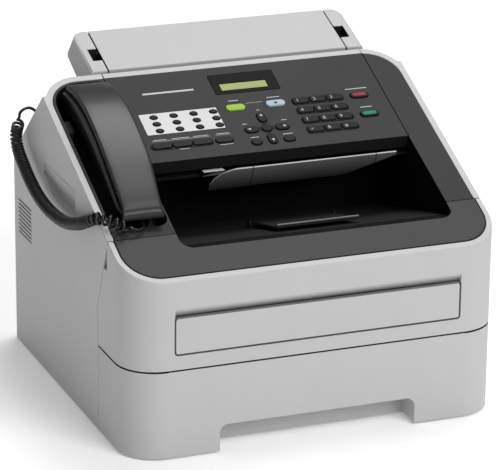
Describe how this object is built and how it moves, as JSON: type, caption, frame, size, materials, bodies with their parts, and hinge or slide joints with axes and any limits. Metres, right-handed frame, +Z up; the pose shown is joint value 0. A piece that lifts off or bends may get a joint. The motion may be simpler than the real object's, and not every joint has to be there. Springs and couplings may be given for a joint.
{
  "type": "fax machine",
  "caption": "Desktop laser fax machine with a corded handset beside a sloping control panel, a drop-down front cover, a paper tray and a rear document tray.",
  "frame": {"origin": "on the floor under the middle of the machine and its cordless bounding box", "axes": "+X to the right as seen by a person facing the keys, +Y to the back, +Z up"},
  "size_m": [0.3853, 0.35, 0.3114],
  "materials": {
    "body_grey": "fine textured, light grey",
    "tray_grey": "fine textured, pale grey",
    "panel_grey": "fine textured, dark grey",
    "black_plastic": "matt, black",
    "handset_grey": "satin, dark grey",
    "rubber": "matt, black",
    "cord": "satin, black",
    "key_black": "smooth, black",
    "key_green": "translucent lime green",
    "key_blue": "translucent pale blue",
    "key_red": "smooth, dark red",
    "key_teal": "smooth, green",
    "board": "lacquered circuit board",
    "drum": "polished coating",
    "fuser": "smooth, black"
  },
  "bodies": {
    "base": {"base_frame": "black_plastic", "foot_front_left": "rubber", "foot_front_right": "rubber", "foot_rear_left": "rubber", "foot_rear_right": "rubber", "left_side_cover": "body_grey", "right_side_cover": "body_grey", "rear_housing": "body_grey", "top_housing": "panel_grey", "document_tray": "tray_grey", "handset_jack": "black_plastic", "cord_lead_jack": "cord", "cord_coil": "cord", "cord_lead_handset": "cord", "power_supply": "black_plastic", "line_board": "board", "main_board": "board", "laser_unit": "black_plastic", "toner_cartridge": "black_plastic"},
    "panel": {"control_panel": "panel_grey", "display": "black_plastic"},
    "rear_cover": {"rear_cover": "body_grey"},
    "paper_tray": {"paper_tray": "body_grey"},
    "front_cover": {"front_cover": "body_grey"},
    "manual_feed_flap": {"manual_feed_flap": "body_grey"},
    "document_exit_flap": {"document_exit_flap": "black_plastic"},
    "output_support_flap": {"output_support_flap": "black_plastic"},
    "key_1": {"key_1": "key_black"},
    "key_2": {"key_2": "key_black"},
    "key_3": {"key_3": "key_black"},
    "key_4": {"key_4": "key_black"},
    "key_5": {"key_5": "key_black"},
    "key_6": {"key_6": "key_black"},
    "key_7": {"key_7": "key_black"},
    "key_8": {"key_8": "key_black"},
    "key_9": {"key_9": "key_black"},
    "key_star": {"key_star": "key_black"},
    "key_0": {"key_0": "key_black"},
    "key_hash": {"key_hash": "key_black"},
    "key_ok": {"key_ok": "key_black"},
    "key_up": {"key_up": "key_black"},
    "key_down": {"key_down": "key_black"},
    "key_left": {"key_left": "key_black"},
    "key_right": {"key_right": "key_black"},
    "key_menu": {"key_menu": "key_black"},
    "key_clear": {"key_clear": "key_black"},
    "key_mode_fax": {"key_mode_fax": "key_green"},
    "key_mode_copy": {"key_mode_copy": "key_blue"},
    "key_stop": {"key_stop": "key_red"},
    "key_start": {"key_start": "key_teal"},
    "one_touch_keys": {"one_touch_keys": "key_black"},
    "function_keys": {"function_keys": "key_black"},
    "document_support": {"document_support": "tray_grey"},
    "document_guide_left": {"document_guide_left": "tray_grey"},
    "document_guide_right": {"document_guide_right": "tray_grey"},
    "handset": {"handset": "handset_grey"},
    "hook_switch": {"hook_switch": "panel_grey"},
    "photo_drum": {"photo_drum": "drum"},
    "fuser_roller": {"fuser_roller": "fuser"},
    "pickup_roller": {"pickup_roller": "rubber"}
  },
  "joints": [
    {"name": "paper_tray_slide", "type": "slide", "parent": "base", "child": "paper_tray", "axis": [0, -1, 0], "range_m": [0, 0.28]},
    {"name": "front_cover_hinge", "type": "hinge", "parent": "base", "child": "front_cover", "pos_m": [0, -0.1746, 0.0883], "axis": [1, 0, 0], "range_deg": [0, 90]},
    {"name": "manual_feed_flap_hinge", "type": "hinge", "parent": "front_cover", "child": "manual_feed_flap", "pos_m": [0, -0.1745, 0.102], "axis": [1, 0, 0], "range_deg": [0, 75]},
    {"name": "rear_cover_hinge", "type": "hinge", "parent": "base", "child": "rear_cover", "pos_m": [0, 0.1743, 0.0996], "axis": [-1, 0, 0], "range_deg": [0, 90]},
    {"name": "control_panel_hinge", "type": "hinge", "parent": "base", "child": "panel", "pos_m": [0, 0.088, 0.283], "axis": [-1, 0, 0], "range_deg": [0, 45]},
    {"name": "document_exit_flap_hinge", "type": "hinge", "parent": "base", "child": "document_exit_flap", "pos_m": [0.05, -0.0278, 0.2017], "axis": [1, 0, 0], "range_deg": [0, 75]},
    {"name": "output_support_flap_hinge", "type": "hinge", "parent": "base", "child": "output_support_flap", "pos_m": [0.029, -0.0315, 0.1646], "axis": [-1, 0, 0], "range_deg": [0, 40]},
    {"name": "document_support_hinge", "type": "hinge", "parent": "base", "child": "document_support", "pos_m": [0.01425, 0.1567, 0.30894], "axis": [-1, 0, 0], "range_deg": [0, 150]},
    {"name": "document_guide_left_slide", "type": "slide", "parent": "base", "child": "document_guide_left", "axis": [1, 0, 0], "range_m": [0, 0.031]},
    {"name": "document_guide_right_slide", "type": "slide", "parent": "base", "child": "document_guide_right", "axis": [-1, 0, 0], "range_m": [0, 0.031]},
    {"name": "handset_lift", "type": "slide", "parent": "base", "child": "handset", "axis": [0, -0.4056, 0.914], "range_m": [0, 0.12]},
    {"name": "hook_switch_slide", "type": "slide", "parent": "base", "child": "hook_switch", "axis": [0, -0.4056, 0.914], "range_m": [0, 0.004]},
    {"name": "key_1_press", "type": "slide", "parent": "panel", "child": "key_1", "axis": [0, 0.4056, -0.914], "range_m": [0, 0.001], "stiffness_N_per_m": 400},
    {"name": "key_2_press", "type": "slide", "parent": "panel", "child": "key_2", "axis": [0, 0.4056, -0.914], "range_m": [0, 0.001], "stiffness_N_per_m": 400},
    {"name": "key_3_press", "type": "slide", "parent": "panel", "child": "key_3", "axis": [0, 0.4056, -0.914], "range_m": [0, 0.001], "stiffness_N_per_m": 400},
    {"name": "key_4_press", "type": "slide", "parent": "panel", "child": "key_4", "axis": [0, 0.4056, -0.914], "range_m": [0, 0.001], "stiffness_N_per_m": 400},
    {"name": "key_5_press", "type": "slide", "parent": "panel", "child": "key_5", "axis": [0, 0.4056, -0.914], "range_m": [0, 0.001], "stiffness_N_per_m": 400},
    {"name": "key_6_press", "type": "slide", "parent": "panel", "child": "key_6", "axis": [0, 0.4056, -0.914], "range_m": [0, 0.001], "stiffness_N_per_m": 400},
    {"name": "key_7_press", "type": "slide", "parent": "panel", "child": "key_7", "axis": [0, 0.4056, -0.914], "range_m": [0, 0.001], "stiffness_N_per_m": 400},
    {"name": "key_8_press", "type": "slide", "parent": "panel", "child": "key_8", "axis": [0, 0.4056, -0.914], "range_m": [0, 0.001], "stiffness_N_per_m": 400},
    {"name": "key_9_press", "type": "slide", "parent": "panel", "child": "key_9", "axis": [0, 0.4056, -0.914], "range_m": [0, 0.001], "stiffness_N_per_m": 400},
    {"name": "key_star_press", "type": "slide", "parent": "panel", "child": "key_star", "axis": [0, 0.4056, -0.914], "range_m": [0, 0.001], "stiffness_N_per_m": 400},
    {"name": "key_0_press", "type": "slide", "parent": "panel", "child": "key_0", "axis": [0, 0.4056, -0.914], "range_m": [0, 0.001], "stiffness_N_per_m": 400},
    {"name": "key_hash_press", "type": "slide", "parent": "panel", "child": "key_hash", "axis": [0, 0.4056, -0.914], "range_m": [0, 0.001], "stiffness_N_per_m": 400},
    {"name": "key_ok_press", "type": "slide", "parent": "panel", "child": "key_ok", "axis": [0, 0.4056, -0.914], "range_m": [0, 0.001], "stiffness_N_per_m": 400},
    {"name": "key_up_press", "type": "slide", "parent": "panel", "child": "key_up", "axis": [0, 0.4056, -0.914], "range_m": [0, 0.001], "stiffness_N_per_m": 400},
    {"name": "key_down_press", "type": "slide", "parent": "panel", "child": "key_down", "axis": [0, 0.4056, -0.914], "range_m": [0, 0.001], "stiffness_N_per_m": 400},
    {"name": "key_left_press", "type": "slide", "parent": "panel", "child": "key_left", "axis": [0, 0.4056, -0.914], "range_m": [0, 0.001], "stiffness_N_per_m": 400},
    {"name": "key_right_press", "type": "slide", "parent": "panel", "child": "key_right", "axis": [0, 0.4056, -0.914], "range_m": [0, 0.001], "stiffness_N_per_m": 400},
    {"name": "key_menu_press", "type": "slide", "parent": "panel", "child": "key_menu", "axis": [0, 0.4056, -0.914], "range_m": [0, 0.001], "stiffness_N_per_m": 400},
    {"name": "key_clear_press", "type": "slide", "parent": "panel", "child": "key_clear", "axis": [0, 0.4056, -0.914], "range_m": [0, 0.001], "stiffness_N_per_m": 400},
    {"name": "key_mode_fax_press", "type": "slide", "parent": "panel", "child": "key_mode_fax", "axis": [0, 0.4056, -0.914], "range_m": [0, 0.001], "stiffness_N_per_m": 400},
    {"name": "key_mode_copy_press", "type": "slide", "parent": "panel", "child": "key_mode_copy", "axis": [0, 0.4056, -0.914], "range_m": [0, 0.001], "stiffness_N_per_m": 400},
    {"name": "key_stop_press", "type": "slide", "parent": "panel", "child": "key_stop", "axis": [0, 0.4056, -0.914], "range_m": [0, 0.001], "stiffness_N_per_m": 400},
    {"name": "key_start_press", "type": "slide", "parent": "panel", "child": "key_start", "axis": [0, 0.4056, -0.914], "range_m": [0, 0.001], "stiffness_N_per_m": 400},
    {"name": "one_touch_keys_press", "type": "slide", "parent": "panel", "child": "one_touch_keys", "axis": [0, 0.4056, -0.914], "range_m": [0, 0.001], "stiffness_N_per_m": 600},
    {"name": "function_keys_press", "type": "slide", "parent": "panel", "child": "function_keys", "axis": [0, 0.4056, -0.914], "range_m": [0, 0.001], "stiffness_N_per_m": 500},
    {"name": "photo_drum_spin", "type": "hinge", "parent": "base", "child": "photo_drum", "pos_m": [0, 0.024, 0.112], "axis": [1, 0, 0], "continuous": true},
    {"name": "fuser_roller_spin", "type": "hinge", "parent": "base", "child": "fuser_roller", "pos_m": [0, 0.112, 0.116], "axis": [1, 0, 0], "continuous": true},
    {"name": "pickup_roller_spin", "type": "hinge", "parent": "base", "child": "pickup_roller", "pos_m": [0, -0.063, 0.072], "axis": [1, 0, 0], "continuous": true}
  ],
  "couplings": [
    {"joint": "hook_switch_slide", "follows": "handset_lift", "ratio": 0.033333},
    {"joint": "document_guide_right_slide", "follows": "document_guide_left_slide", "ratio": 1},
    {"joint": "fuser_roller_spin", "follows": "photo_drum_spin", "ratio": 0.96}
  ]
}
